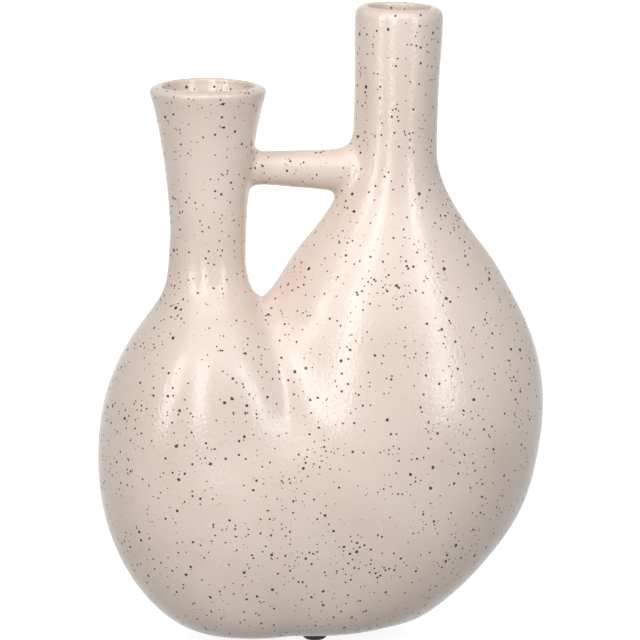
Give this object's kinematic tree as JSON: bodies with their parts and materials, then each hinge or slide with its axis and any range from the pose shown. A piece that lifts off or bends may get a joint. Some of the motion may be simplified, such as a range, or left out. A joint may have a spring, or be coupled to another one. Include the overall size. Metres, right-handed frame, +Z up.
{
  "type": "two-necked ceramic vase",
  "caption": "Flattened, speckle-glazed vase whose twin-lobed belly rises into a short flared neck and a taller plain one, joined by a bridge above a finger gap.",
  "frame": {"origin": "on the table, under the middle of the belly's box", "axes": "+X from the short neck to the tall neck, +Y from the front to the back, +Z up"},
  "size_m": [0.1818, 0.0948, 0.2538],
  "materials": {
    "glaze": "satin",
    "rubber": "matte",
    "adhesive": "satin"
  },
  "bodies": {
    "root": {"belly": "glaze", "short_neck": "glaze", "tall_neck": "glaze", "bridge": "glaze", "foot_pad_front": "rubber", "foot_pad_back": "rubber", "foot_pad_left": "rubber", "foot_pad_right": "rubber", "pad_adhesive_front": "adhesive", "pad_adhesive_back": "adhesive", "pad_adhesive_left": "adhesive", "pad_adhesive_right": "adhesive"}
  },
  "joints": []
}
